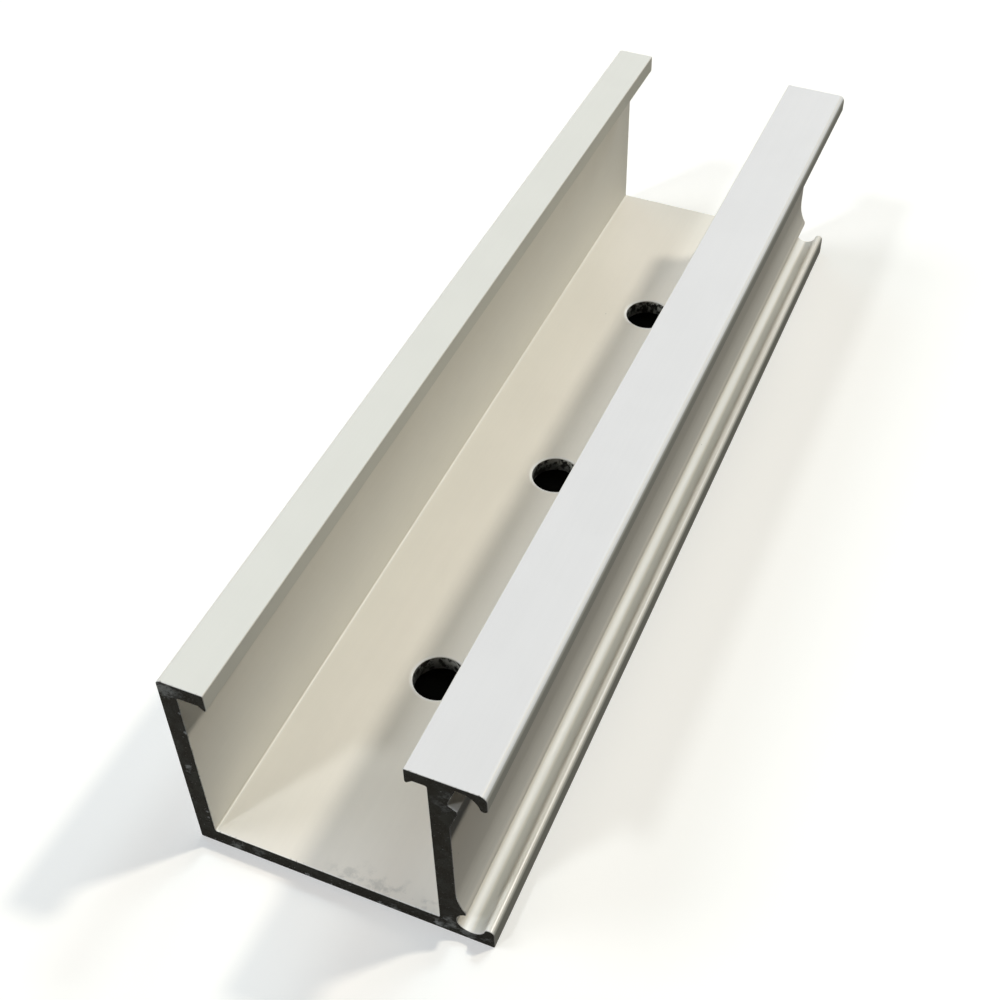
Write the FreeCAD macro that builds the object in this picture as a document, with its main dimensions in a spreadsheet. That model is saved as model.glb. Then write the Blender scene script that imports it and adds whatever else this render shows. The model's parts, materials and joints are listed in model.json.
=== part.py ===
import FreeCAD, Part
import math
import os
from collections import namedtuple

import Sketcher

# Short piece of extruded mounting rail, in millimetres. It lies on its underside, runs
# along Y and is centred over the origin. The section is an open channel with two lips.
# The web on the right carries a flange and a foot that stand out past it.

RAIL = "mounting_rail"

SIZES = {
    "rail_length": 183.0,
    "overall_width": 50.0,
    "overall_height": 40.0,
    "wall_thickness": 3.0,
    "floor_thickness": 3.2,
    "edge_round": 0.25,
    "inner_round": 0.3,
    # left lip, from the outer face of the left wall to its tip
    "lip_width": 7.6,
    "lip_thickness": 2.8,
    "shoulder_round": 0.9,
    # right flange, and how far the flange and the foot stand out past the web
    "flange_width": 12.1,
    "flange_thickness": 2.3,
    "flange_round": 1.2,
    "shelf_reach": 5.8,
    # small nose under the tip of each lip
    "nose_drop": 0.8,
    "nose_width": 1.25,
    "nose_round": 0.35,
    # round socket under the flange, closed by a hook along the flange's outer edge
    "socket_roof": 1.0,
    "socket_radius": 3.1,
    "haunch_width": 1.2,
    "haunch_height": 3.5,
    "hook_width": 1.2,
    "hook_drop": 3.7,
    # catch on the outer face of the web, below the socket
    "catch_drop": 5.95,
    "catch_reach": 1.3,
    "catch_face": 0.65,
    "catch_slant": 0.8,
    "catch_run": 3.9,
    # ridge over the round groove at the root of the foot, and bead along the foot's edge
    "ridge_reach": 1.4,
    "ridge_height": 7.1,
    "flare_height": 12.0,
    "groove_radius": 2.25,
    "groove_inset": 3.75,
    "groove_height": 4.3,
    "bead_height": 3.6,
    # drilled holes in the floor, from the outer face of the left wall
    "hole_diameter": 9.0,
    "hole_line": 22.5,
    "hole_pitch": 52.0,
    "hole_count": 3,
}

# A corner of the section. Its fillet is the radius that rounds it, between edges that are
# upright or level. Its bend is for an edge that arrives at it as an arc: LEFT or RIGHT,
# the way the edge turns, and what fixes it, its radius or the height of its centre.
Corner = namedtuple("Corner", "name x z fillet bend", defaults=(None, None))
Bend = namedtuple("Bend", "turn radius centre_z", defaults=(None, None))
LEFT, RIGHT = 1, -1


def make_sheet(doc):
    """Write each driving size into a cell of the sheet and give the cell its name."""
    sheet = doc.addObject("Spreadsheet::Sheet", "sizes")
    for row, (name, value) in enumerate(SIZES.items(), start=1):
        sheet.set(f"A{row}", name)
        sheet.set(f"B{row}", str(value))
        sheet.setAlias(f"B{row}", name)
    doc.recompute()
    return sheet


def formula(text):
    """Turn a formula in plain size names into one that reads them from the sheet."""
    return " ".join(f"sizes.{word}" if word in SIZES else word for word in text.split())


def origin_part(body, role):
    """Find one of the body's own origin planes or axes."""
    return next(part for part in body.Origin.OriginFeatures if part.Role == role)


def add_sketch(body, name, role):
    """Add a sketch on one of the body's origin planes, measured from the rail's left face."""
    sketch = body.newObject("Sketcher::SketchObject", name)
    sketch.AttachmentSupport = [(origin_part(body, role), "")]
    sketch.MapMode = "FlatFace"
    sketch.setExpression("AttachmentOffset.Base.x", formula("- overall_width / 2"))
    return sketch


def nose(name, tip, under, inward):
    """Corners of the small nose at a lip's tip, from the tip face to the lip's underside."""
    bottom = f"{under} - nose_drop"
    return [
        Corner(f"{name}_side", tip, f"{bottom} + nose_round"),
        Corner(f"{name}_bottom", f"{tip} {inward} nose_round", bottom, None, Bend(LEFT, "nose_round")),
        Corner(f"{name}_back", f"{tip} {inward} nose_width", under),
    ]


def section_corners():
    """List the section's corners, anticlockwise from the lower left one."""
    web_out = "overall_width - shelf_reach"
    web_in = f"{web_out} - wall_thickness"
    lip_under = "overall_height - lip_thickness"
    flange_under = "overall_height - flange_thickness"
    flange_tip = "overall_width - flange_width"
    groove_x = "overall_width - groove_inset"
    ridge_x = f"{web_out} + ridge_reach"
    ridge_under = (
        "groove_height + sqrt( groove_radius ^ 2 - ( shelf_reach - groove_inset - ridge_reach ) ^ 2 )"
    )
    bead_in = f"{groove_x} + sqrt( groove_radius ^ 2 - ( groove_height - bead_height ) ^ 2 )"
    catch_x = f"{web_out} + catch_reach"
    catch_top = "overall_height - catch_drop"
    catch_under = f"{catch_top} - catch_face"
    socket_top = "overall_height - socket_roof"
    hook_centre = "overall_height - hook_drop + hook_width / 2"
    foot = [
        Corner("lower_left", "0", "0", "edge_round"),
        Corner("foot_edge", "overall_width", "0", "edge_round"),
        Corner("bead_outer", "overall_width", "bead_height"),
        Corner("bead_inner", bead_in, "bead_height", None, Bend(LEFT, None, "bead_height")),
        Corner("groove_end", ridge_x, ridge_under, None, Bend(RIGHT, None, "groove_height")),
        Corner("ridge_tip", ridge_x, "ridge_height"),
        Corner("flare_top", web_out, "flare_height", None, Bend(RIGHT, None, "flare_height")),
    ]
    catch = [
        Corner("catch_root", web_out, f"{catch_under} - catch_run"),
        Corner("catch_lower", catch_x, catch_under),
        Corner("catch_upper", catch_x, catch_top),
        Corner("catch_inner", web_out, f"{catch_top} + catch_slant"),
    ]
    flange = [
        Corner("haunch_root", web_out, f"{socket_top} - haunch_height"),
        Corner("socket_top", f"{web_out} + haunch_width", socket_top),
        Corner("hook_inner", "overall_width - hook_width", hook_centre, None, Bend(RIGHT, "socket_radius")),
        Corner("hook_outer", "overall_width", hook_centre, None, Bend(LEFT, None, hook_centre)),
        Corner("flange_edge", "overall_width", "overall_height", "flange_round"),
        Corner("flange_tip", flange_tip, "overall_height", "edge_round"),
        *nose("flange_nose", flange_tip, flange_under, "+"),
    ]
    channel = [
        Corner("web_head", web_in, flange_under, "inner_round"),
        Corner("web_foot", web_in, "floor_thickness", "inner_round"),
        Corner("wall_foot", "wall_thickness", "floor_thickness", "inner_round"),
        Corner("wall_head", "wall_thickness", lip_under, "inner_round"),
    ]
    lip_nose = nose("lip_nose", "lip_width", lip_under, "-")
    lip = [
        lip_nose[2],
        lip_nose[1]._replace(bend=None),
        lip_nose[0]._replace(bend=lip_nose[1].bend),
        Corner("lip_tip", "lip_width", "overall_height", "edge_round"),
        Corner("upper_left", "0", "overall_height", "shoulder_round"),
    ]
    return foot + catch + flange + channel + lip


def trim_fillets(corners, value):
    """Replace each corner that has a fillet with the two ends of its arc."""
    trimmed = []
    for index, corner in enumerate(corners):
        if not corner.fillet:
            trimmed.append(corner)
            continue
        ends = []
        for other in (corners[index - 1], corners[(index + 1) % len(corners)]):
            run, rise = value(other.x) - value(corner.x), value(other.z) - value(corner.z)
            place = {"x": corner.x, "z": corner.z}
            along = "x" if abs(run) > abs(rise) else "z"
            sign = "+" if (run if along == "x" else rise) > 0 else "-"
            place[along] = f"{place[along]} {sign} {corner.fillet}"
            ends.append(place)
        before, after = ends
        back = (value(before["x"]) - value(corner.x), value(before["z"]) - value(corner.z))
        ahead = (value(after["x"]) - value(corner.x), value(after["z"]) - value(corner.z))
        turn = LEFT if back[1] * ahead[0] - back[0] * ahead[1] > 0 else RIGHT
        trimmed.append(Corner(f"{corner.name}_start", **before))
        trimmed.append(Corner(f"{corner.name}_end", **after, bend=Bend(turn, corner.fillet)))
    return trimmed


def arc_centre(start, end, bend, value):
    """Work out where the centre of the arc from start to end lies."""
    chord = end - start
    middle = start + chord * 0.5
    left = FreeCAD.Vector(-chord.y, chord.x, 0) / chord.Length
    if bend.radius:
        return middle + left * bend.turn * math.sqrt(value(bend.radius) ** 2 - (chord.Length / 2) ** 2)
    if abs(left.y) < 1e-9:
        return middle
    return middle + left * ((value(bend.centre_z) - middle.y) / left.y)


def draw_section(sketch, corners):
    """Draw the closed outline and tie each of its points and arcs to the sheet."""
    def value(text):
        return float(sketch.evalExpression(formula(text)))

    corners = trim_fillets(corners, value)
    places = [FreeCAD.Vector(value(corner.x), value(corner.z), 0) for corner in corners]
    ends = []
    for index, corner in enumerate(corners):
        start, end = places[index - 1], places[index]
        if not corner.bend:
            edge = sketch.addGeometry(Part.LineSegment(start, end), False)
            ends.append((edge, 1, 2))
            continue
        centre = arc_centre(start, end, corner.bend, value)
        first, last = (start, end) if corner.bend.turn == LEFT else (end, start)
        angles = [math.atan2(point.y - centre.y, point.x - centre.x) for point in (first, last)]
        circle = Part.Circle(centre, FreeCAD.Vector(0, 0, 1), (end - centre).Length)
        edge = sketch.addGeometry(Part.ArcOfCircle(circle, *angles), False)
        ends.append((edge, 1, 2) if corner.bend.turn == LEFT else (edge, 2, 1))
    for index, corner in enumerate(corners):
        before, (edge, _, tail) = ends[index - 1], ends[index]
        sketch.addConstraint(Sketcher.Constraint("Coincident", before[0], before[2], edge, ends[index][1]))
        rules = [("x", "DistanceX", tail, corner.x), ("z", "DistanceY", tail, corner.z)]
        if corner.bend and corner.bend.centre_z:
            rules.append(("centre", "DistanceY", 3, corner.bend.centre_z))
        for key, kind, point, text in rules:
            rule = sketch.addConstraint(Sketcher.Constraint(kind, -1, 1, edge, point, value(text)))
            bind(sketch, rule, f"{corner.name}_{key}", text)
        if corner.bend and corner.bend.radius:
            radius = value(corner.bend.radius)
            rule = sketch.addConstraint(Sketcher.Constraint("Radius", edge, radius))
            bind(sketch, rule, f"{corner.name}_radius", corner.bend.radius)


def bind(sketch, rule, name, text):
    """Name a constraint and let the sheet set it."""
    sketch.renameConstraint(rule, name)
    sketch.setExpression(f"Constraints.{name}", formula(text))


def extrude_rail(doc, body):
    """Extrude the section along the rail's whole length."""
    sketch = add_sketch(body, "section", "XZ_Plane")
    draw_section(sketch, section_corners())
    rail = body.newObject("PartDesign::Pad", "extrusion")
    rail.Profile = sketch
    rail.SideType = "Symmetric"
    rail.setExpression("Length", formula("rail_length"))
    doc.recompute()
    return rail


def drill_holes(doc, body):
    """Drill the row of holes through the floor, centred on the rail's length."""
    sketch = add_sketch(body, "hole_place", "XY_Plane")
    hole = sketch.addGeometry(Part.Circle(FreeCAD.Vector(1, 1, 0), FreeCAD.Vector(0, 0, 1), 1), False)
    places = [
        ("line", Sketcher.Constraint("DistanceX", -1, 1, hole, 3, 1), "hole_line"),
        ("start", Sketcher.Constraint("DistanceY", hole, 3, -1, 1, 1), "hole_pitch * ( hole_count - 1 ) / 2"),
        ("across", Sketcher.Constraint("Diameter", hole, 2), "hole_diameter"),
    ]
    for name, constraint, text in places:
        bind(sketch, sketch.addConstraint(constraint), name, text)
    first = body.newObject("PartDesign::Pocket", "first_hole")
    first.Profile = sketch
    first.SideType = "Symmetric"
    first.setExpression("Length", formula("floor_thickness * 3"))
    doc.recompute()
    row = body.newObject("PartDesign::LinearPattern", "hole_row")
    row.Originals = [first]
    row.Direction = (origin_part(body, "Y_Axis"), [""])
    row.Mode = "Spacing"
    row.setExpression("Offset", formula("hole_pitch"))
    row.setExpression("Occurrences", formula("hole_count"))
    body.Tip = row
    doc.recompute()
    return row


def check(doc, before, after):
    """Stop if an object failed, the solid is unsound, or the holes took no metal."""
    for thing in doc.Objects:
        if {"Invalid", "Error"} & set(thing.State):
            raise RuntimeError(f"{thing.Label} failed: {thing.State}")
    if after.isNull() or not after.isValid() or len(after.Solids) != 1:
        raise RuntimeError("the rail is not one sound solid")
    drilled = before.Volume - after.Volume
    wanted = math.pi / 4 * SIZES["hole_diameter"] ** 2 * SIZES["floor_thickness"] * SIZES["hole_count"]
    if abs(drilled - wanted) > 0.01 * wanted:
        raise RuntimeError(f"the holes took {drilled:.1f} of {wanted:.1f} cubic millimetres")


def main():
    doc = FreeCAD.newDocument("rail")
    make_sheet(doc)
    body = doc.addObject("PartDesign::Body", RAIL)
    body.Label = RAIL
    body.Placement = FreeCAD.Placement()
    extrusion = extrude_rail(doc, body)
    drilled = drill_holes(doc, body)
    check(doc, extrusion.Shape, drilled.Shape)
    os.makedirs("parts", exist_ok=True)
    body.Shape.exportStep(f"parts/{body.Label}.step")
    box = body.Shape.BoundBox
    print(f"{body.Label}: {box.XLength:.2f} x {box.YLength:.2f} x {box.ZLength:.2f} mm")
    print(f"volume {body.Shape.Volume:.0f} mm3, section {extrusion.Shape.Volume / box.YLength:.1f} mm2")


main()
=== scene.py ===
"""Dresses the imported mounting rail: its coat, sawn ends and drilled holes, in a pale studio."""
import json
import logging
import math
from dataclasses import dataclass
from enum import Enum
from typing import Any

import bmesh
import bpy
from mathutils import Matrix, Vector, noise


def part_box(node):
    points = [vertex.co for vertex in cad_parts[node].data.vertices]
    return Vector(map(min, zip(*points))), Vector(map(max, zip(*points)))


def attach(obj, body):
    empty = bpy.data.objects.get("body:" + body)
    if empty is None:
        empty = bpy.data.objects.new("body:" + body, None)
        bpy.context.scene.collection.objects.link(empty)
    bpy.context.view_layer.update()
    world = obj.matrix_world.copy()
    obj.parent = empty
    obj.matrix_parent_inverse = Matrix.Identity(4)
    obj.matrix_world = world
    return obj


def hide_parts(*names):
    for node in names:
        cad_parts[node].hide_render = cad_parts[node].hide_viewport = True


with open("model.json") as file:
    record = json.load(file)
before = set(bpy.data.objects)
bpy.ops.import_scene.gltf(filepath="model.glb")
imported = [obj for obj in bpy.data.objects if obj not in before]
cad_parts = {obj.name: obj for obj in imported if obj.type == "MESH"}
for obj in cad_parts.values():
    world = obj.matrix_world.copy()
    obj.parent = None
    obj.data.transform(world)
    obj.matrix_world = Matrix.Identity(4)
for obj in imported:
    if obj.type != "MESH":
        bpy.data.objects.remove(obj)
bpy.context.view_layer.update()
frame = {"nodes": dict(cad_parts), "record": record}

LOG = logging.getLogger("mounting_rail")
MM = 0.001
PER_METRE = 1000.0
RAIL_NODE = "mounting_rail"

Colour = tuple[float, float, float]
Socket = bpy.types.NodeSocket

# Most of a noise's values lie between these two.
NOISE_LOW, NOISE_HIGH = 0.3, 0.7
# The way the saw ran over the cut ends, in degrees from level.
SAW_TURN = 38.0
# The Mix node's sockets for the factor, the two colours and the mixed colour.
MIX_FACTOR, MIX_FIRST, MIX_SECOND, MIX_RESULT = 0, 6, 7, 2
WHITE = (1.0, 1.0, 1.0)
BLACK = (0.0, 0.0, 0.0)


class Finish(Enum):
    """The surfaces of the rail, in the order of its material slots."""

    SATIN = 0
    RUBBED = 1
    MATT = 2
    SAWN = 3
    DRILLED = 4


class Bench:
    """Adds nodes to one node tree and wires them."""

    def __init__(self, tree: bpy.types.NodeTree) -> None:
        """Takes the material's, world's or group's tree to work on, and empties it."""
        self.tree = tree
        tree.nodes.clear()

    def fill(self, node: bpy.types.Node, inputs: dict[str | int, Any]) -> None:
        """Sets or wires a node's inputs.

        Args:
            node: The node.
            inputs: Socket names or numbers, each with a value or an output.
        """
        for name, value in inputs.items():
            if isinstance(value, Socket):
                self.tree.links.new(value, node.inputs[name])
            else:
                node.inputs[name].default_value = value

    def add(self, kind: str, inputs: dict[str | int, Any] | None = None, **settings: Any) -> bpy.types.Node:
        """Adds a node, sets its properties, and sets or wires its inputs.

        Args:
            kind: The node's type name.
            inputs: Socket names or numbers, each with a value or an output.
            settings: The node's own properties.

        Returns:
            The new node.
        """
        node = self.tree.nodes.new(kind)
        for name, value in settings.items():
            setattr(node, name, value)
        self.fill(node, inputs or {})
        return node

    def math(self, operation: str, first: Any, second: Any = 0.0, clamp: bool = False) -> Socket:
        """Adds one sum on one or two values, with its result held between 0 and 1 if clamp is set."""
        node = self.add("ShaderNodeMath", {0: first, 1: second}, operation=operation, use_clamp=clamp)
        return node.outputs[0]

    def times(self, first: Any, second: Any, clamp: bool = False) -> Socket:
        """Multiplies two values."""
        return self.math("MULTIPLY", first, second, clamp)

    def span(self, value: Socket, low: float, high: float, start: float = 0.0, end: float = 1.0) -> Socket:
        """Maps a value smoothly from low and high to start and end, and holds it there."""
        inputs = {"Value": value, "From Min": low, "From Max": high, "To Min": start, "To Max": end}
        return self.add("ShaderNodeMapRange", inputs, interpolation_type="SMOOTHSTEP").outputs["Result"]

    def blend(self, factor: Any, first: Any, second: Any, mode: str = "MIX") -> Socket:
        """Mixes two colours.

        Args:
            factor: The share of the second colour.
            first: A colour or an output.
            second: A colour or an output.
            mode: The Mix node's blend type.

        Returns:
            The mixed colour's socket.
        """
        first, second = (c if isinstance(c, Socket) else (*c, 1.0) for c in (first, second))
        node = self.add("ShaderNodeMix", data_type="RGBA", blend_type=mode, clamp_factor=True)
        self.fill(node, {MIX_FACTOR: factor, MIX_FIRST: first, MIX_SECOND: second})
        return node.outputs[MIX_RESULT]

    def cover(self, colour: Any, over: Colour, mask: Socket, strength: Any = 1.0) -> Socket:
        """Lays one colour over another where the mask is, as strongly as given."""
        return self.blend(self.times(mask, strength), colour, over)

    def noise(self, vector: Socket, scale: Any, detail: float = 2.0, rough: float = 0.5) -> Socket:
        """Adds a noise with the given waves per millimetre, finer layers and strength of these."""
        inputs = {"Vector": vector, "Scale": scale, "Detail": detail, "Roughness": rough}
        return self.add("ShaderNodeTexNoise", inputs).outputs["Fac"]

    def stretch(self, vector: Socket, scale: tuple[float, float, float], turn: float = 0.0) -> Socket:
        """Scales coordinates by a different amount along each axis.

        Args:
            vector: The coordinates.
            scale: The factor along each axis.
            turn: A turn about Y in degrees, made before the scale.

        Returns:
            The scaled coordinates' socket.
        """
        rotation = (0.0, math.radians(turn), 0.0)
        turned = self.add("ShaderNodeMapping", {"Vector": vector, "Rotation": rotation})
        scaled = self.add("ShaderNodeMapping", {"Vector": turned.outputs[0], "Scale": scale})
        return scaled.outputs[0]

    def millimetres(self) -> Socket:
        """Gives the piece's own coordinates in millimetres."""
        place = self.add("ShaderNodeTexCoord").outputs["Object"]
        return self.add("ShaderNodeMapping", {"Vector": place, "Scale": (PER_METRE,) * 3}).outputs[0]

    def split(self, vector: Socket) -> tuple[Socket, Socket, Socket]:
        """Separates a vector into its X, Y and Z."""
        node = self.add("ShaderNodeSeparateXYZ", {0: vector})
        return node.outputs[0], node.outputs[1], node.outputs[2]

    def length(self, first: Socket, second: Socket) -> Socket:
        """Gives the distance that two legs at right angles span."""
        legs = self.add("ShaderNodeCombineXYZ", {0: first, 1: second}).outputs[0]
        return self.add("ShaderNodeVectorMath", {0: legs}, operation="LENGTH").outputs["Value"]

    def bump(self, height: Socket, depth: float) -> Socket:
        """Adds a bump whose height of 1 stands for the given depth in millimetres, and gives its normal."""
        node = self.add("ShaderNodeBump", {"Height": height, "Distance": depth * MM, "Strength": 1.0})
        return node.outputs[0]

    def surface(self, inputs: dict[str, Any]) -> None:
        """Adds the material's shader with its values or wires, and its output."""
        shader = self.add("ShaderNodeBsdfPrincipled", inputs)
        self.add("ShaderNodeOutputMaterial", {"Surface": shader.outputs[0]})

    def place(self, effect: "Effect", vector: Socket, **inputs: Any) -> Any:
        """Adds a shared effect's group.

        Args:
            effect: The effect.
            vector: The coordinates.
            inputs: The effect's other values or wires.

        Returns:
            The group node's outputs.
        """
        node = self.add("ShaderNodeGroup", node_tree=effect.group())
        self.fill(node, {"vector": vector, **inputs})
        return node.outputs


class Effect:
    """A surface effect kept as one node group, which each finish places in its material.

    Attributes:
        name: The group's name.
        inputs: Its input values with their defaults, besides the coordinates.
        outputs: The names of its outputs.
    """

    name: str = ""
    inputs: dict[str, float] = {}
    outputs: tuple[str, ...] = ()

    def group(self) -> bpy.types.NodeTree:
        """Gives the effect's group, built the first time it is asked for.

        Returns:
            The node group.
        """
        found = bpy.data.node_groups.get(self.name)
        if found is not None:
            return found
        tree = bpy.data.node_groups.new(self.name, "ShaderNodeTree")
        face = tree.interface
        face.new_socket(name="vector", in_out="INPUT", socket_type="NodeSocketVector")
        for name, value in self.inputs.items():
            socket = face.new_socket(name=name, in_out="INPUT", socket_type="NodeSocketFloat")
            socket.default_value = value
        for name in self.outputs:
            face.new_socket(name=name, in_out="OUTPUT", socket_type="NodeSocketFloat")
        bench = Bench(tree)
        start = bench.add("NodeGroupInput")
        bench.add("NodeGroupOutput", dict(zip(self.outputs, self.wire(bench, start.outputs))))
        return tree

    def wire(self, bench: Bench, given: Any) -> tuple[Socket, ...]:
        """Adds the effect's nodes.

        Args:
            bench: The group's bench.
            given: The group's inputs by name.

        Returns:
            One socket for each output, in order.
        """
        raise NotImplementedError


class FineGrain(Effect):
    """A fine even grain, such as the skin of a powder coat or the pits of a rough surface.

    Attributes:
        tone_waves: Waves of the tone for each wave of the height.
    """

    name = "fine_grain"
    inputs = {"waves": 1.0}
    outputs = ("height", "tone")
    tone_waves = 0.05

    def wire(self, bench: Bench, given: Any) -> tuple[Socket, ...]:
        """Adds a fine noise for the height and a wide one for the tone.

        Args:
            bench: The group's bench.
            given: The group's inputs by name.

        Returns:
            The height and the tone, each about 0 to 1.
        """
        height = bench.noise(given["vector"], given["waves"], detail=1.5)
        waves = bench.times(given["waves"], self.tone_waves)
        broad = bench.noise(given["vector"], waves, detail=3.0)
        return height, bench.span(broad, NOISE_LOW, NOISE_HIGH)


class DrawnLines(Effect):
    """Fine parallel lines along Y of the given coordinates, as a die leaves them.

    Attributes:
        along: The factor on Y that draws the pattern out.
    """

    name = "drawn_lines"
    inputs = {"waves": 1.0}
    outputs = ("lines",)
    along = 0.006

    def wire(self, bench: Bench, given: Any) -> tuple[Socket, ...]:
        """Adds a noise drawn out along Y.

        Args:
            bench: The group's bench.
            given: The group's inputs by name.

        Returns:
            The lines, 0 to 1.
        """
        drawn = bench.stretch(given["vector"], (1.0, self.along, 1.0))
        lines = bench.noise(drawn, given["waves"], detail=3.0, rough=0.6)
        return (bench.span(lines, NOISE_LOW, NOISE_HIGH),)


class Specks(Effect):
    """Small scattered specks, such as dust or metal flecks.

    Attributes:
        bend_waves: Waves per millimetre of the noise that makes the specks uneven.
        bend_reach: How far it shifts their outline, in millimetres.
    """

    name = "scattered_specks"
    inputs = {"waves": 0.3, "share": 0.2, "size": 0.1}
    outputs = ("mask",)
    bend_waves = 3.0
    bend_reach = 0.25

    def wire(self, bench: Bench, given: Any) -> tuple[Socket, ...]:
        """Adds one speck to a share of the cells of a cell pattern.

        Args:
            bench: The group's bench.
            given: The group's inputs by name.

        Returns:
            The mask, 1 in a speck.
        """
        start = given["vector"]
        bent = bench.add("ShaderNodeTexNoise", {"Vector": start, "Scale": self.bend_waves, "Detail": 1.0})
        shift = bench.add("ShaderNodeVectorMath", {0: bent.outputs["Color"], "Scale": self.bend_reach},
                          operation="SCALE")
        moved = bench.add("ShaderNodeVectorMath", {0: start, 1: shift.outputs[0]}, operation="ADD")
        cells = bench.add("ShaderNodeTexVoronoi", {"Vector": moved.outputs[0], "Scale": given["waves"]})
        near = bench.math("LESS_THAN", cells.outputs["Distance"], given["size"])
        draw = bench.add("ShaderNodeSeparateColor", {0: cells.outputs["Color"]})
        picked = bench.math("LESS_THAN", draw.outputs[0], given["share"])
        return (bench.times(near, picked),)


class Patches(Effect):
    """Soft patches with broken edges, such as smudges or worn places.

    Attributes:
        contrast: How fast a patch comes up above its level.
    """

    name = "soft_patches"
    inputs = {"waves": 0.2, "level": 0.55}
    outputs = ("mask",)
    contrast = 8.0

    def wire(self, bench: Bench, given: Any) -> tuple[Socket, ...]:
        """Adds a noise that shows only above a level.

        Args:
            bench: The group's bench.
            given: The group's inputs by name.

        Returns:
            The mask, 0 to 1.
        """
        cloud = bench.noise(given["vector"], given["waves"], detail=4.0, rough=0.62)
        above = bench.math("SUBTRACT", cloud, given["level"])
        return (bench.times(above, self.contrast, clamp=True),)


class WornPlace(Effect):
    """One worn place of the section, soft at its edge and broken up inside.

    Attributes:
        squeeze: How much the break-up is drawn out along the saw's way.
        level: The noise value that leaves the place as it is.
        contrast: How hard the noise breaks it up.
        fullness: How fast it comes up from its edge inwards.
    """

    name = "worn_place"
    inputs = {"across": 0.0, "up": 0.0, "reach": 3.0, "waves": 0.65}
    outputs = ("mask",)
    squeeze = 1.6
    level = 0.60
    contrast = 4.5
    fullness = 2.0

    def wire(self, bench: Bench, given: Any) -> tuple[Socket, ...]:
        """Measures from the place's middle and breaks the round patch up with a noise.

        Args:
            bench: The group's bench.
            given: The group's inputs by name.

        Returns:
            The mask, 0 to 1.
        """
        across, _, up = bench.split(given["vector"])
        away = bench.length(bench.math("SUBTRACT", across, given["across"]),
                            bench.math("SUBTRACT", up, given["up"]))
        near = bench.math("SUBTRACT", 1.0, bench.math("DIVIDE", away, given["reach"]), clamp=True)
        streaks = bench.stretch(given["vector"], (1.0, 1.0, self.squeeze), turn=SAW_TURN)
        cloud = bench.noise(streaks, given["waves"], detail=4.0, rough=0.62)
        uneven = bench.times(bench.math("SUBTRACT", cloud, self.level), self.contrast)
        full = bench.times(near, self.fullness, clamp=True)
        return (bench.times(full, bench.math("ADD", near, uneven), clamp=True),)


class SectionBand(Effect):
    """One band of the section, soft at its edges."""

    name = "section_band"
    inputs = {"left": -1.0, "right": 1.0, "low": -1.0, "high": 1.0, "soft": 0.3}
    outputs = ("mask",)

    def wire(self, bench: Bench, given: Any) -> tuple[Socket, ...]:
        """Measures inwards from the band's four edges.

        Args:
            bench: The group's bench.
            given: The group's inputs by name.

        Returns:
            The mask, 0 to 1.
        """
        across, _, up = bench.split(given["vector"])
        mask: Any = 1.0
        for first, second in ((across, given["left"]), (given["right"], across),
                              (up, given["low"]), (given["high"], up)):
            inwards = bench.math("SUBTRACT", first, second)
            depth = bench.math("DIVIDE", inwards, given["soft"], clamp=True)
            mask = bench.times(depth, mask)
        return (mask,)


class RingRound(Effect):
    """A thin uneven ring round a drilled hole, where the coat is painted lighter as a highlight of the rim
    and sunk a little.

    Attributes:
        uneven_waves: Waves per millimetre of the noise that makes the ring come and go.
        gone_below: The noise value below which the ring is gone.
        full_above: The noise value above which it is full.
    """

    name = "ring_round_hole"
    inputs = {"across": 0.0, "along": 0.0, "radius": 4.0, "width": 0.6}
    outputs = ("mask",)
    uneven_waves = 0.35
    gone_below = 0.25
    full_above = 0.5

    def wire(self, bench: Bench, given: Any) -> tuple[Socket, ...]:
        """Measures out from the hole's edge and breaks the ring up with a noise.

        Args:
            bench: The group's bench.
            given: The group's inputs by name.

        Returns:
            The mask, 0 to 1.
        """
        across, along, _ = bench.split(given["vector"])
        away = bench.length(bench.math("SUBTRACT", across, given["across"]),
                            bench.math("SUBTRACT", along, given["along"]))
        past = bench.math("DIVIDE", bench.math("SUBTRACT", away, given["radius"]), given["width"])
        cloud = bench.noise(given["vector"], self.uneven_waves, detail=2.0)
        shown = bench.span(cloud, self.gone_below, self.full_above)
        return (bench.times(bench.math("SUBTRACT", 1.0, past, clamp=True), shown),)


class CutDistance(Effect):
    """How near a place is to one of the two sawn ends."""

    name = "nearness_to_cut"
    inputs = {"half_length": 90.0, "reach": 1.0}
    outputs = ("near_end", "either_end")

    def wire(self, bench: Bench, given: Any) -> tuple[Socket, ...]:
        """Measures along Y from both ends.

        Args:
            bench: The group's bench.
            given: The group's inputs by name.

        Returns:
            The nearness to the end at low Y and to the nearer end, 1 at the cut and 0 past the reach.
        """
        along = bench.split(given["vector"])[1]
        results = []
        for side in (bench.times(along, -1.0), bench.math("ABSOLUTE", along)):
            depth = bench.math("SUBTRACT", given["half_length"], side)
            share = bench.math("DIVIDE", depth, given["reach"])
            results.append(bench.math("SUBTRACT", 1.0, share, clamp=True))
        return tuple(results)


def new_material(name: str) -> tuple[bpy.types.Material, Bench]:
    """Makes an empty material.

    Args:
        name: The material's name.

    Returns:
        The material, and the bench of its node tree.
    """
    material = bpy.data.materials.new(name)
    material.use_nodes = True
    return material, Bench(material.node_tree)


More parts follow.
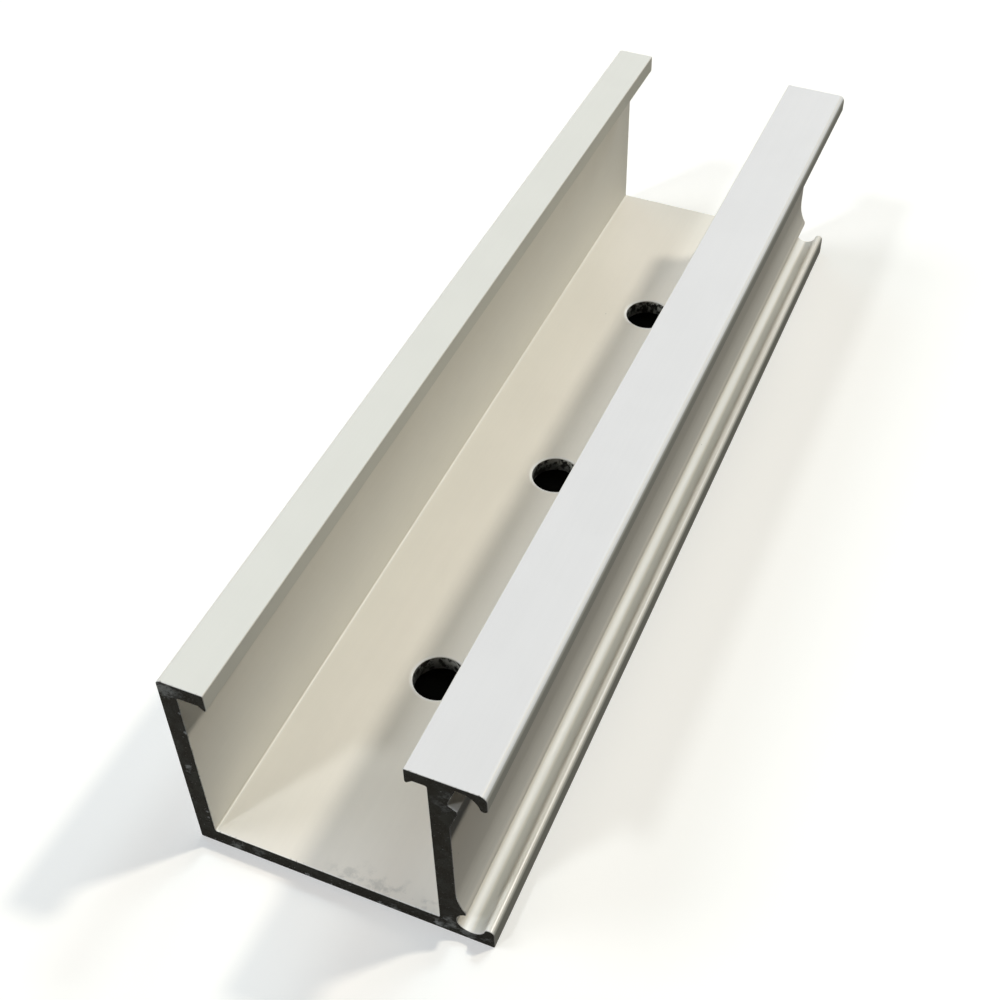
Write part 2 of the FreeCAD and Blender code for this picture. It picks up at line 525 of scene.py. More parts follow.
@dataclass(frozen=True)
class Band:
    """A band of the section where the coat is painted a little lighter or darker, as painted light and
    shade, or made duller.

    Attributes:
        across: Where it starts and ends across the rail, in millimetres from the middle.
        up: Where it starts and ends above the underside, in millimetres.
        tone: The coat's colour there, as a factor on each channel, which paints light or shade.
        soft: How wide its edge is, in millimetres.
        rough: The change of the coat's roughness there.
    """

    across: tuple[float, float]
    up: tuple[float, float]
    tone: Colour = WHITE
    soft: float = 0.3
    rough: float = 0.0

    def mask(self, bench: Bench, place: Socket) -> Socket:
        """Adds the band's mask to a material.

        Args:
            bench: The material's bench.
            place: The coordinates in millimetres.

        Returns:
            The mask's socket, 0 to 1.
        """
        return bench.place(SectionBand(), place, left=self.across[0], right=self.across[1],
                           low=self.up[0], high=self.up[1], soft=self.soft)["mask"]


# Painted shade: the web's flare, a little darker.
FLARE_SHADE = Band((18.6, 21.5), (5.0, 11.5), (0.93, 0.93, 0.93), 1.5)
# Painted shade: the round at the foot of the left wall's inner face, a little darker.
WALL_FOOT_SHADE = Band((-22.2, -21.5), (3.27, 3.80), (0.90, 0.90, 0.89), 0.06)
OUTSIDE_RIGHT_LIGHT_AND_SHADE = (
    Band((23.5, 24.9), (38.5, 39.88), (1.04, 1.09, 1.20), 0.1),  # round along the flange's edge, painted lighter and cooler as a highlight
    Band((24.75, 26.0), (-1.0, 41.0), (0.61, 0.635, 0.635), 0.1),  # hook's and foot's outer faces, painted darker as shade
    Band((24.75, 26.0), (-1.0, 3.6), (0.76, 0.76, 0.75), 0.3),  # foot's outer face, painted darker still as shade
)
GROOVE_LIGHT_AND_SHADE = (
    FLARE_SHADE,
    Band((19.8, 21.3), (1.5, 3.6), (1.08, 1.12, 1.18), 0.3, 0.14),  # groove's inner side, painted lighter as a highlight, and rougher
    Band((21.2, 23.2), (1.5, 4.3), (0.71, 0.74, 0.76), 0.5, 0.10),  # groove's outer side, painted darker as shade, and rougher
    Band((23.2, 24.3), (3.5, 4.8), (1.18, 1.21, 1.24), 0.3, 0.08),  # bead, painted lighter as a highlight, and a little rougher
)
SATIN_LIGHT_AND_SHADE = OUTSIDE_RIGHT_LIGHT_AND_SHADE + GROOVE_LIGHT_AND_SHADE + (
    WALL_FOOT_SHADE,
    Band((-21.9, -21.4), (3.05, 3.30), (1.05, 1.08, 1.10), 0.15),  # floor beside the left wall, painted lighter as a highlight
)
RUBBED_LIGHT_AND_SHADE = OUTSIDE_RIGHT_LIGHT_AND_SHADE + GROOVE_LIGHT_AND_SHADE + (
    Band((10.0, 26.0), (39.85, 41.0), (0.954, 0.982, 1.074), 0.1),  # flange's top, painted cooler and a little darker for how the light falls on it
    Band((-26.0, -16.0), (39.85, 41.0), (0.945, 0.978, 1.00), 0.1),  # lip's top, painted cooler and a little darker for how the light falls on it
)
MATT_LIGHT_AND_SHADE = OUTSIDE_RIGHT_LIGHT_AND_SHADE + (
    Band((-17.7, -17.0), (35.5, 39.9), (0.84, 0.87, 0.87), 0.2),  # lip's inner edge, painted darker as shade
    Band((-22.4, -21.7), (3.5, 37.0), (0.95, 0.97, 0.985), 0.2),  # left wall's inner face, painted a little darker as shade
    Band((-22.4, -21.7), (-2.0, 18.0), (0.92, 0.92, 0.91), 5.0),  # its lower part, painted darker still as shade
    Band((-22.4, -21.7), (29.0, 38.0), (1.18, 1.18, 1.20), 2.5),  # its part under the lip, painted lighter to lift its shadow
    WALL_FOOT_SHADE,
    Band((18.6, 20.6), (7.4, 36.0), (0.87, 0.88, 0.89), 0.4),  # web's outer face, painted darker as shade
    FLARE_SHADE,
)


@dataclass(frozen=True)
class CoatFinish:
    """The powder coat: warm off-white, with a fine skin, drawn lines, specks and wear at the cuts, and with
    painted light and shade in bands of the section and a painted highlight round the holes.

    Waves are per millimetre, and heights, depths and reaches are in millimetres.

    Attributes:
        name: The material's name.
        half_length: Half the rail's length in millimetres.
        light_and_shade_bands: The bands of the section where painted light and shade change its tone, and
            where its roughness differs.
        holes: For each drilled hole its middle across and along and its radius, in millimetres.
        gloss: The specular level, lower where the coat is rubbed dull and none where it is matt.
        tone_range: The lowest and highest factor of the broad unevenness of its colour.
        drawn_range: The same for the drawn lines.
        rough_range: The lowest and highest change of its roughness over the surface.
        smudge_band: Where over the section the smudges by the near cut lie.
    """

    name: str
    half_length: float
    light_and_shade_bands: tuple[Band, ...]
    holes: tuple[tuple[float, float, float], ...] = ()
    gloss: float = 0.5
    roughness: float = 0.30
    refraction: float = 1.5
    rough_range: tuple[float, float] = (-0.02, 0.03)
    colour: Colour = (0.815, 0.775, 0.695)
    tone_range: tuple[float, float] = (0.992, 1.006)
    skin_waves: float = 1.7
    skin_height: float = 0.006
    drawn_range: tuple[float, float] = (0.995, 1.004)
    drawn_waves: float = 1.3
    drawn_height: float = 0.35
    # Painted highlight: the lighter colour of the rings round the holes, laid at this strength.
    rim_highlight: Colour = (0.95, 0.95, 0.95)
    rim_highlight_strength: float = 0.8
    dish_depth: float = 0.08
    grey: Colour = (0.37, 0.37, 0.345)
    speck_waves: float = 0.16
    speck_share: float = 0.30
    speck_size: float = 0.020
    speck_strength: float = 0.55
    smudge_band: Band = Band((-4.0, 21.0), (-2.0, 8.0), soft=4.0)
    smudge_waves: float = 0.36
    smudge_level: float = 0.52
    smudge_reach: float = 4.5
    smudge_strength: float = 0.58
    smudge_rough: float = 0.12
    pale: Colour = (0.86, 0.85, 0.81)
    pale_strength: float = 0.6
    rim_reach: float = 0.35
    bare: Colour = (0.30, 0.29, 0.27)
    nick_waves: float = 1.6
    nick_level: float = 0.56

    def build(self) -> bpy.types.Material:
        """Makes the material.

        Returns:
            The material.
        """
        material, bench = new_material(self.name)
        place = bench.millimetres()
        skin = bench.place(FineGrain(), place, waves=self.skin_waves)
        lines = bench.place(DrawnLines(), place, waves=self.drawn_waves)["lines"]
        colour, rough = self.toned_with_painted_light(bench, place, skin["tone"], lines)
        colour, dished = self.highlight_hole_rims(bench, place, colour)
        colour, dirty = self.worn(bench, place, colour)

        rough = bench.math("ADD", rough, bench.span(skin["tone"], 0.0, 1.0, *self.rough_range))
        rough = bench.math("ADD", rough, bench.times(dirty, self.smudge_rough))
        drawn = bench.times(lines, self.drawn_height)
        depth = bench.times(dished, self.dish_depth / self.skin_height)
        height = bench.math("SUBTRACT", bench.math("ADD", skin["height"], drawn), depth)
        bench.surface({"Base Color": colour, "Roughness": rough, "IOR": self.refraction,
                       "Normal": bench.bump(height, self.skin_height),
                       "Specular IOR Level": self.gloss})
        return material

    def toned_with_painted_light(self, bench: Bench, place: Socket, tone: Socket, lines: Socket) -> tuple[Socket, Any]:
        """Adds the coat's own colour, a little uneven, with the painted light and shade of the bands of the
        section.

        Args:
            bench: The material's bench.
            place: The coordinates in millimetres.
            tone: The broad unevenness, 0 to 1.
            lines: The drawn lines, 0 to 1.

        Returns:
            The colour's and the roughness's sockets.
        """
        broad = bench.span(tone, 0.0, 1.0, *self.tone_range)
        level = bench.times(broad, bench.span(lines, 0.0, 1.0, *self.drawn_range))
        grey = bench.add("ShaderNodeCombineColor", {0: level, 1: level, 2: level}).outputs[0]
        colour = bench.blend(1.0, self.colour, grey, mode="MULTIPLY")
        rough: Any = self.roughness
        # Each band paints light or shade on the coat through its tone, and changes its roughness.
        for band in self.light_and_shade_bands:
            mask = band.mask(bench, place)
            colour = bench.blend(mask, colour, bench.blend(1.0, colour, band.tone, mode="MULTIPLY"))
            rough = bench.math("ADD", bench.times(mask, band.rough), rough)
        return colour, rough

    def highlight_hole_rims(self, bench: Bench, place: Socket, colour: Socket) -> tuple[Socket, Any]:
        """Lays the rings round the holes over the colour, painted lighter as a highlight of their rims.

        Args:
            bench: The material's bench.
            place: The coordinates in millimetres.
            colour: The colour so far.

        Returns:
            The colour's socket, and the mask of the rings or 0.
        """
        rings: Any = 0.0
        for across, along, radius in self.holes:
            ring = bench.place(RingRound(), place, across=across, along=along, radius=radius)["mask"]
            colour = bench.cover(colour, self.rim_highlight, ring, self.rim_highlight_strength)
            rings = bench.math("MAXIMUM", ring, rings)
        return colour, rings

    def worn(self, bench: Bench, place: Socket, colour: Socket) -> tuple[Socket, Socket]:
        """Lays specks over the colour, smudges by the near cut, and a pale nicked edge at both cuts.

        Args:
            bench: The material's bench.
            place: The coordinates in millimetres.
            colour: The colour so far.

        Returns:
            The colour's socket and the mask of the smudges.
        """
        specks = bench.place(Specks(), place, waves=self.speck_waves, share=self.speck_share,
                             size=self.speck_size)["mask"]
        colour = bench.cover(colour, self.grey, specks, self.speck_strength)
        smudges = bench.place(Patches(), place, waves=self.smudge_waves, level=self.smudge_level)["mask"]
        near = bench.place(CutDistance(), place, half_length=self.half_length, reach=self.smudge_reach)
        dirty = bench.times(near["near_end"], smudges)
        dirty = bench.times(dirty, self.smudge_band.mask(bench, place))
        colour = bench.cover(colour, self.grey, dirty, self.smudge_strength)
        near = bench.place(CutDistance(), place, half_length=self.half_length, reach=self.rim_reach)
        rim = near["either_end"]
        colour = bench.cover(colour, self.pale, rim, self.pale_strength)
        nicks = bench.place(Patches(), place, waves=self.nick_waves, level=self.nick_level)["mask"]
        return bench.cover(colour, self.bare, rim, nicks), dirty


@dataclass(frozen=True)
class SawnFinish:
    """The sawn ends: dull metal, near black as partly darkened metal and partly painted shade and painted
    dark reflection, with faint blotches, scuffed places and small bright flecks.

    Waves are per millimetre, and heights, depths and reaches are in millimetres.

    Attributes:
        squeeze: How much the flecks are drawn out along the saw's way.
        fleck_height: How far above the underside the flecks have faded to their least.
        fleck_least: Their strength there and above.
        pits_range: The lowest and highest change of its roughness over the pits.
        scuffs: For each scuffed place its middle across and up, its reach and its strength.
        chips: The same for the small bright chips along the edges.
    """

    # Near black: partly the darkened metal, partly painted shade and painted dark reflection, with the
    # gloss kept low.
    colour: Colour = (0.0170, 0.0145, 0.0095)
    blotch: Colour = (0.0430, 0.0420, 0.0330)
    blotch_waves: float = 0.34
    blotch_level: float = 0.47
    blotch_strength: float = 0.75
    scuff: Colour = (0.46, 0.46, 0.42)
    fleck: Colour = (0.86, 0.86, 0.82)
    squeeze: float = 2.4
    fleck_waves: float = 1.5
    fleck_level: float = 0.635
    fleck_height: float = 1.8
    fleck_least: float = 0.35
    pit_waves: float = 4.5
    pit_depth: float = 0.03
    pits_range: tuple[float, float] = (-0.08, 0.10)
    roughness: float = 0.62
    gloss: float = 0.06
    scuffs: tuple[tuple[float, float, float, float], ...] = (
        (-24.4, 38.4, 3.4, 0.90), (-21.6, 38.9, 2.4, 0.50), (17.6, 2.0, 4.2, 0.85),
        (20.6, 1.2, 2.8, 0.60), (23.6, 2.0, 1.8, 0.50), (18.6, 35.0, 2.6, 0.40),
        (19.6, 37.4, 2.0, 0.35), (-23.7, 19.4, 1.8, 0.95), (-18.6, 0.8, 2.6, 0.85),
        (-14.5, 1.6, 1.6, 0.50), (8.5, 0.3, 1.8, 0.50),
    )
    chips: tuple[tuple[float, float, float, float], ...] = (
        (-6.1, 0.2, 1.0, 1.0), (-2.2, 0.1, 0.8, 1.0), (0.6, 0.1, 0.8, 1.0),
        (6.3, 0.3, 1.1, 1.0), (-22.4, 8.3, 0.7, 0.8), (-22.6, 6.6, 0.6, 0.8),
        (-22.2, 29.0, 0.6, 0.7), (-22.3, 33.5, 0.6, 0.6), (-24.6, 10.6, 0.7, 0.5),
        (15.8, 1.0, 0.9, 0.8), (17.0, 3.0, 0.8, 0.7), (12.4, 0.4, 0.7, 0.7),
    )

    def build(self) -> bpy.types.Material:
        """Makes the material.

        Returns:
            The material.
        """
        material, bench = new_material("sawn_metal")
        place = bench.millimetres()
        blotches = bench.place(Patches(), place, waves=self.blotch_waves, level=self.blotch_level)["mask"]
        colour = bench.cover(self.colour, self.blotch, blotches, self.blotch_strength)
        for places, bright in ((self.scuffs, self.scuff), (self.chips, self.fleck)):
            for across, up, reach, strength in places:
                worn = bench.place(WornPlace(), place, across=across, up=up, reach=reach)["mask"]
                colour = bench.cover(colour, bright, worn, strength)
        streaked = bench.stretch(place, (1.0, 1.0, self.squeeze), turn=SAW_TURN)
        flecks = bench.place(Patches(), streaked, waves=self.fleck_waves, level=self.fleck_level)["mask"]
        low = bench.span(bench.split(place)[2], self.fleck_height, 0.0, self.fleck_least, 1.0)
        colour = bench.cover(colour, self.fleck, flecks, low)
        pits = bench.place(FineGrain(), place, waves=self.pit_waves)["height"]
        smoothest, roughest = (self.roughness + change for change in self.pits_range)
        rough = bench.span(pits, NOISE_LOW, NOISE_HIGH, smoothest, roughest)
        bench.surface({"Base Color": colour, "Roughness": rough,
                       "Normal": bench.bump(pits, self.pit_depth),
                       "Specular IOR Level": self.gloss})
        return material


@dataclass(frozen=True)
class DrilledFinish:
    """The walls of the drilled holes: metal painted near black as shade and dark reflection, smeared grey
    to the right and below the rim.

    Waves are per millimetre, and heights and depths are in millimetres.

    Attributes:
        hole_line: Where the row of holes lies across the rail, in millimetres.
        smear_side: Between which places across, from a hole's middle, the smears come up.
        smear_height: Between which heights above the underside they come up.
        smear_least: Their strength where they are faintest.
        groove_scale: The scale of the drill's fine grooves, which run round the hole.
    """

    hole_line: float
    # Near black as painted shade and painted dark reflection in the hole.
    colour: Colour = (0.016, 0.016, 0.0130)
    smear: Colour = (0.72, 0.715, 0.68)
    smear_waves: float = 0.9
    smear_level: float = 0.44
    smear_scale: tuple[float, float, float] = (1.0, 1.0, 0.8)
    smear_side: tuple[float, float] = (-3.0, 2.0)
    smear_height: tuple[float, float] = (0.8, 2.6)
    smear_least: float = 0.35
    groove_scale: tuple[float, float, float] = (0.25, 0.25, 4.0)
    groove_depth: float = 0.03
    roughness: float = 0.50
    gloss: float = 0.2

    def build(self) -> bpy.types.Material:
        """Makes the material.

        Returns:
            The material.
        """
        material, bench = new_material("drilled_metal")
        place = bench.millimetres()
        grooves = bench.noise(bench.stretch(place, self.groove_scale), 1.0, detail=3.0)
        drawn = bench.stretch(place, self.smear_scale)
        smears = bench.place(Patches(), drawn, waves=self.smear_waves, level=self.smear_level)["mask"]
        across, _, up = bench.split(place)
        left, right = (self.hole_line + offset for offset in self.smear_side)
        side = bench.span(across, left, right, self.smear_least, 1.0)
        rim = bench.span(up, *self.smear_height, self.smear_least, 1.0)
        colour = bench.cover(self.colour, self.smear, smears, bench.times(side, rim))
        bench.surface({"Base Color": colour, "Roughness": self.roughness,
                       "Normal": bench.bump(grooves, self.groove_depth),
                       "Specular IOR Level": self.gloss})
        return material


@dataclass
class MountingRail:
    """The rail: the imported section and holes, with its rims broken and its finishes on.

    Attributes:
        rim_break: How far the corner is taken off the rims of the sawn ends, in metres.
        rim_step: The greatest distance between two points of such a rim, in metres.
        rim_unevenness: How much of the break comes and goes along the rim.
        rim_waves: Waves of that unevenness per metre.
        hole_break: How far the rims of the holes are rounded off, in metres.
        hole_facets: How many facets such a rim has across it.
        hole_margin: How far out from the wall such a rim reaches, as a multiple of hole_break.
        rubbed_depth: How far down from the top the rubbed coat reaches, in metres.
        rubbed_gloss: The specular level of the rubbed coat.
        matt_gloss: The specular level of the matt coat.
        right_facing: How far to the right a face of the matt coat looks at least.
        groove_top: How high the groove's rubbed coat reaches, in metres.
        groove_right: How far across it reaches, in metres from the middle.
        sharp_angle: The angle in degrees above which an edge is shaded as a corner.
        area_weight: How strongly larger faces lead the shading, of 100.
        merge_within: How near two points count as one, in metres.
        plane_within: How near a plane a point counts as on it, in metres.
        wall_within: The same for the wall of a hole.
        flat_within: The angle in degrees below which two faces count as one.
        upright_within: How far an upright face may look up or down.
    """

    rim_break: float = 0.07 * MM
    rim_step: float = 0.5 * MM
    rim_unevenness: float = 0.8
    rim_waves: float = 900.0
    hole_break: float = 0.14 * MM
    hole_facets: int = 2
    hole_margin: float = 1.2
    rubbed_depth: float = 1.3 * MM
    rubbed_gloss: float = 0.12
    matt_gloss: float = 0.0
    right_facing: float = 0.6
    groove_top: float = 7.0 * MM
    groove_right: float = 24.5 * MM
    sharp_angle: float = 35.0
    area_weight: int = 100
    merge_within: float = 0.001 * MM
    plane_within: float = 0.01 * MM
    wall_within: float = 0.06 * MM
    flat_within: float = 0.4
    upright_within: float = 0.1

    def __post_init__(self) -> None:
        """Reads the rail's half length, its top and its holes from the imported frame."""
        low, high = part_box(RAIL_NODE)
        self.half_length = (high.y - low.y) / 2
        self.top = high.z
        bores = [m for m in frame["record"]["mounts"] if m["kind"] == "bore"]
        self.hole_places = [Vector(m["pos_m"]) for m in bores]
        self.hole_radius = bores[0]["dims"]["r_mm"] * MM

    def build(self) -> bpy.types.Object:
        """Makes the finished rail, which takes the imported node's place.

        Returns:
            The rail's object.
        """
        bm = self.merged_copy()
        self.break_holes(bm)
        self.break_cuts(bm)
        self.sort_faces(bm)
        mesh = bpy.data.meshes.new("rail_finished")
        bm.to_mesh(mesh)
        bm.free()
        rail = bpy.data.objects.new("rail_finished", mesh)
        bpy.context.scene.collection.objects.link(rail)
        self.dress(rail)
        return rail

    def merged_copy(self) -> bmesh.types.BMesh:
        """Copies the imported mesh, joins its loose triangles and clears the lines on its flat faces.

        Returns:
            The copy.
        """
        bm = bmesh.new()
        bm.from_mesh(frame["nodes"][RAIL_NODE].data)
        bmesh.ops.remove_doubles(bm, verts=bm.verts, dist=self.merge_within)
        flat = math.radians(self.flat_within)
        bmesh.ops.dissolve_limit(bm, angle_limit=flat, verts=bm.verts, edges=bm.edges)
        return bm

    def at_one_end(self, verts: Any) -> bool:
        """Tells whether vertices all lie on the same sawn end."""
        ends = (-self.half_length, self.half_length)
        return any(all(abs(v.co.y - y) < self.plane_within for v in verts) for y in ends)

    def on_hole(self, place: Vector) -> bool:
        """Tells whether a place lies on the wall of one of the holes."""
        distances = ((place - hole).xy.length for hole in self.hole_places)
        return any(abs(distance - self.hole_radius) < self.wall_within for distance in distances)

    def near_hole(self, place: Vector) -> bool:
        """Tells whether a place lies on the wall or on a rounded rim of one of the holes."""
        reach = self.hole_radius + self.hole_margin * self.hole_break
        return any((place - hole).xy.length < reach for hole in self.hole_places)

    def coat_of(self, normal: Vector, place: Vector) -> Finish:
        """Chooses a face's coat: matt where it looks to the right, rubbed in the groove and on the tops.

        Args:
            normal: The way that the face looks.
            place: Its middle.

        Returns:
            The finish.
        """
        in_groove = place.z < self.groove_top and 0.0 < place.x < self.groove_right
        if normal.x > self.right_facing:
            return Finish.RUBBED if in_groove else Finish.MATT
        at_top = place.z > self.top - self.rubbed_depth and normal.x + normal.z > self.right_facing
        return Finish.RUBBED if at_top else Finish.SATIN

    def break_cuts(self, bm: bmesh.types.BMesh) -> None:
        """Takes the corner off the rims of the sawn ends, a little unevenly.

        Args:
            bm: The rail's mesh.
        """
        for edge in [e for e in bm.edges if self.at_one_end(e.verts)]:
            far = edge.verts[1]
            for left in range(math.ceil(edge.calc_length() / self.rim_step), 1, -1):
                edge, point = bmesh.utils.edge_split(edge, edge.other_vert(far), 1.0 / left)
                edge = next(e for e in point.link_edges if far in e.verts)
        ends = [f for f in bm.faces if self.at_one_end(f.verts)]
        ring = bmesh.ops.inset_region(bm, faces=ends, thickness=self.rim_break, use_boundary=True,
                                      use_even_offset=True)["faces"]
        rim = {v for f in ring for v in f.verts} - {v for f in ends for v in f.verts}
        for vert in rim:
            uneven = 1.0 + self.rim_unevenness * noise.noise(vert.co * self.rim_waves)
            vert.co.y -= math.copysign(self.rim_break * uneven, vert.co.y)
        LOG.info("sawn ends: %d rim points", len(rim))

    def break_holes(self, bm: bmesh.types.BMesh) -> None:
        """Rounds off the rims of the holes.

        Args:
            bm: The rail's mesh.
        """
        corner = math.radians(self.sharp_angle)
        rims = [e for e in bm.edges
                if all(self.on_hole(v.co) for v in e.verts) and e.calc_face_angle(0.0) > corner]
        bmesh.ops.bevel(bm, geom=rims, offset=self.hole_break, offset_type="OFFSET", affect="EDGES",
                        segments=self.hole_facets, profile=0.5, material=-1, clamp_overlap=False)
        LOG.info("holes: %d rim edges rounded", len(rims))

    def sort_faces(self, bm: bmesh.types.BMesh) -> None:
        """Gives each face the slot of its finish.

        Args:
            bm: The rail's mesh.
        """
        bm.normal_update()
        for face in bm.faces:
            face.smooth = True
            centre = face.calc_center_median()
            up = face.normal.z
            low_rim = up < -self.upright_within and self.plane_within < centre.z < 2 * self.hole_break
            if self.at_one_end(face.verts):
                finish = Finish.SAWN
            elif self.near_hole(centre) and (low_rim or abs(up) < self.upright_within):
                finish = Finish.DRILLED
            else:
                finish = self.coat_of(face.normal, centre)
            face.material_index = finish.value

    def dress(self, rail: bpy.types.Object) -> None:
        """Adds the finishes and the shading, and ties the rail to the frame.

        Args:
            rail: The rail's object.
        """
        half_length = self.half_length / MM
        holes = tuple((hole.x / MM, hole.y / MM, self.hole_radius / MM) for hole in self.hole_places)
        satin = CoatFinish("satin_coat", half_length, SATIN_LIGHT_AND_SHADE, holes)
        rubbed = CoatFinish("rubbed_coat", half_length, RUBBED_LIGHT_AND_SHADE, gloss=self.rubbed_gloss)
        matt = CoatFinish("matt_coat", half_length, MATT_LIGHT_AND_SHADE, gloss=self.matt_gloss)
        drilled = DrilledFinish(hole_line=self.hole_places[0].x / MM)
        for finish in (satin, rubbed, matt, SawnFinish(), drilled):
            rail.data.materials.append(finish.build())
        rail.data.set_sharp_from_angle(angle=math.radians(self.sharp_angle))
        even = rail.modifiers.new("even_shading", "WEIGHTED_NORMAL")
        even.keep_sharp = True
        even.weight = self.area_weight
        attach(rail, "root")
        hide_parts(RAIL_NODE)


@dataclass(frozen=True)
class Lamp:
    """A far soft lamp, its angles in degrees: azimuth 0 is +Y, away from the camera, and 90 is +X."""

    name: str
    azimuth: float
    elevation: float
    width: float
    light: Colour

    def build(self) -> bpy.types.Object:
        """Makes the lamp.

        Returns:
            The lamp's object.
        """
        data = bpy.data.lights.new(self.name, "SUN")
        data.angle = math.radians(self.width)
        strength = max(self.light)
        data.energy = math.pi * strength
        data.color = tuple(channel / strength for channel in self.light)
        lamp = bpy.data.objects.new(self.name, data)
        side, up = math.radians(self.azimuth), math.radians(self.elevation)
        level = math.cos(up)
        towards = Vector((math.sin(side) * level, math.cos(side) * level, math.sin(up)))
        lamp.rotation_euler = towards.to_track_quat("Z", "Y").to_euler()
        bpy.context.scene.collection.objects.link(lamp)
        return lamp


@dataclass
class Studio:
    """The pale floor, the lamps and the soft light all round.

    Attributes:
        lamps: The lamps.
        floor_radius: How far the floor reaches, in metres.
        floor_segments: How many sides its outline has.
        floor_drop: How far the floor lies under the rail, in metres.
        floor_colour: The floor as the camera sees it.
        floor_bounce: The floor's colour for the light that it throws back on the rail.
        floor_lift: The light added to the floor that the camera sees.
        ambient: The colour and strength of the light all round.
        painted_shadow_colour: The floor's colour in the rail's own footprint: a painted shadow, near black,
            that shows through the holes.
        under_inset: How far inside the rail's outline that footprint ends, in millimetres.
    """

    lamps: tuple[Lamp, ...] = ()
    floor_radius: float = 4.0
    floor_segments: int = 96
    floor_drop: float = 0.05 * MM
    floor_colour: Colour = (0.76, 0.745, 0.70)
    floor_bounce: Colour = (0.06, 0.06, 0.06)
    floor_lift: float = 0.325
    ambient: Colour = (0.03, 0.03, 0.03)
    # Painted shadow under the rail, seen through the holes.
    painted_shadow_colour: Colour = (0.003, 0.003, 0.0025)
    under_inset: float = 1.0

    def build(self) -> None:
        """Makes the floor, the lamps and the world."""
        self.lay_floor()
        self.light_world()
        for lamp in self.lamps:
            lamp.build()

    def seen(self, bench: Bench) -> Socket:
        """Adds the test for the rays that see the background: camera, glossy and transmitted ones.

        Args:
            bench: The bench of the floor's or the world's node tree.

        Returns:
            A socket that is 1 for such rays.
        """
        path = bench.add("ShaderNodeLightPath").outputs
        first = bench.math("MAXIMUM", path["Is Camera Ray"], path["Is Glossy Ray"])
        return bench.math("MAXIMUM", first, path["Is Transmission Ray"])

    def light_world(self) -> None:
        """Makes the world white to the eye and dimmer as a light."""
        world = bpy.data.worlds.new("studio_light")
        world.use_nodes = True
        bench = Bench(world.node_tree)
        colour = bench.blend(self.seen(bench), self.ambient, WHITE)
        light = bench.add("ShaderNodeBackground", {"Color": colour, "Strength": 1.0})
        bench.add("ShaderNodeOutputWorld", {"Surface": light.outputs[0]})
        bpy.context.scene.world = world

    def lay_floor(self) -> bpy.types.Object:
        """Makes the floor.

        Returns:
            The floor's object.
        """
        bm = bmesh.new()
        bmesh.ops.create_circle(bm, cap_ends=True, segments=self.floor_segments, radius=self.floor_radius)
        bmesh.ops.translate(bm, verts=bm.verts, vec=(0.0, 0.0, -self.floor_drop))
        mesh = bpy.data.meshes.new("studio_floor")
        bm.to_mesh(mesh)
        bm.free()
        mesh.materials.append(self.floor_material())
        floor = bpy.data.objects.new("studio_floor", mesh)
        bpy.context.scene.collection.objects.link(floor)
        return floor

    def floor_material(self) -> bpy.types.Material:
        """Makes the floor's material: plain and pale, with a painted shadow, near black, in the rail's own
        footprint, which shows only through the holes.

        Returns:
            The material.
        """
        material, bench = new_material("pale_floor")
        inside: Any = 1.0
        for place, edge in zip(bench.split(bench.millimetres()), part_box(RAIL_NODE)[1].xy):
            within = bench.math("LESS_THAN", bench.math("ABSOLUTE", place), edge / MM - self.under_inset)
            inside = bench.times(within, inside)
        dull = {"Roughness": 1.0, "Specular IOR Level": 0.0}
        # Painted shadow: the floor is near black in the rail's footprint, seen only through the holes.
        colour = bench.blend(inside, self.floor_colour, self.painted_shadow_colour)
        glow = bench.blend(inside, WHITE, BLACK)
        shown = bench.add("ShaderNodeBsdfPrincipled",
                          {"Base Color": colour, "Emission Color": glow,
                           "Emission Strength": self.floor_lift, **dull}).outputs[0]
        bounce = bench.blend(inside, self.floor_bounce, self.painted_shadow_colour)
        thrown = bench.add("ShaderNodeBsdfPrincipled", {"Base Color": bounce, **dull}).outputs[0]
        both = bench.add("ShaderNodeMixShader", {0: self.seen(bench), 1: thrown, 2: shown})
        bench.add("ShaderNodeOutputMaterial", {"Surface": both.outputs[0]})
        return material


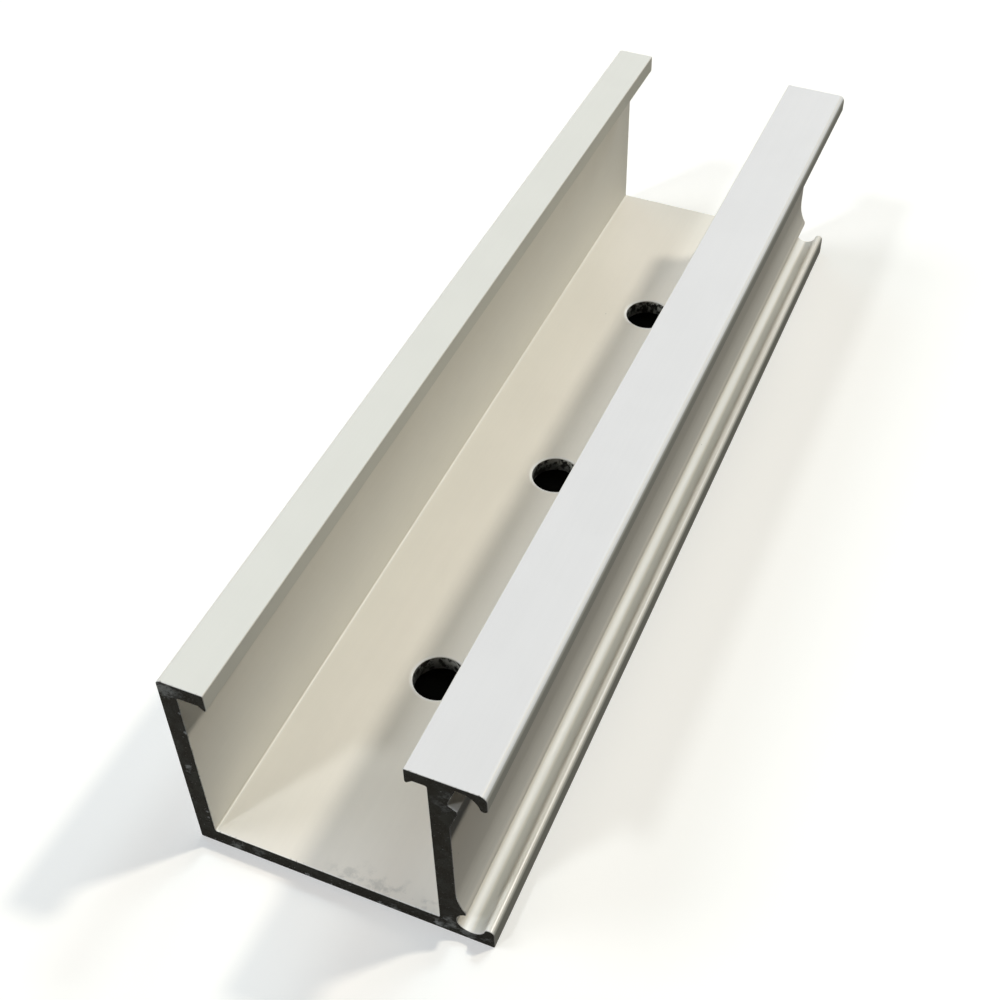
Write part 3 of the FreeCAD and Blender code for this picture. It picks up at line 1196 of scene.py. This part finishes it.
@dataclass(frozen=True)
class Viewpoint:
    """The camera, at the photograph's place and angle.

    Attributes:
        place: Where it stands, in metres.
        tilt: Its angle from straight down, in degrees.
        turn: Its turn about Z, in degrees.
        lens: Its focal length in millimetres.
        frame_width: The width of its frame, in millimetres.
        shift: How far the frame is moved off the centre, as shares of its width.
        nearest: How near to it things are still shown, in metres.
    """

    place: tuple[float, float, float] = (0.07256, -0.1867, 0.2062)
    tilt: float = 44.61
    turn: float = 22.32
    lens: float = 54.04
    frame_width: float = 36.0
    shift: tuple[float, float] = (-0.048, -0.0215)
    nearest: float = 0.01

    def build(self) -> bpy.types.Object:
        """Makes the camera and gives it to the scene.

        Returns:
            The camera's object.
        """
        data = bpy.data.cameras.new("viewpoint")
        data.sensor_width = self.frame_width
        data.lens = self.lens
        data.shift_x, data.shift_y = self.shift
        data.clip_start = self.nearest
        camera = bpy.data.objects.new("viewpoint", data)
        camera.location = self.place
        camera.rotation_euler = (math.radians(self.tilt), 0.0, math.radians(self.turn))
        bpy.context.scene.collection.objects.link(camera)
        bpy.context.scene.camera = camera
        return camera


LAMPS = (
    Lamp("key", 45.0, 52.0, 5.0, (0.42, 0.396, 0.348)),
    Lamp("far_right", 18.0, 50.0, 10.0, (0.15, 0.175, 0.19)),
    Lamp("right", 30.0, 47.0, 10.0, (0.035, 0.045, 0.055)),
    Lamp("left", 250.0, 50.0, 24.0, (0.203, 0.21, 0.235)),
    Lamp("far_left", 300.0, 50.0, 24.0, (0.04, 0.065, 0.08)),
    Lamp("front_left", 210.0, 52.0, 6.0, (0.183, 0.196, 0.208)),
    Lamp("far", 0.0, 42.0, 20.0, (0.14, 0.136, 0.132)),
    Lamp("above", 0.0, 75.0, 20.0, (0.04, 0.03, 0.02)),
)


def main() -> None:
    """Builds the camera, the rail and the studio, and logs each step."""
    logging.basicConfig(level=logging.INFO, format="%(name)s: %(message)s")
    bpy.context.scene.view_settings.view_transform = "Standard"
    Viewpoint().build()
    LOG.info("camera placed")
    rail = MountingRail().build()
    LOG.info("%s: %d faces", rail.name, len(rail.data.polygons))
    Studio(lamps=LAMPS).build()
    LOG.info("studio lit by %d lamps", len(LAMPS))


if __name__ == "__main__":
    main()
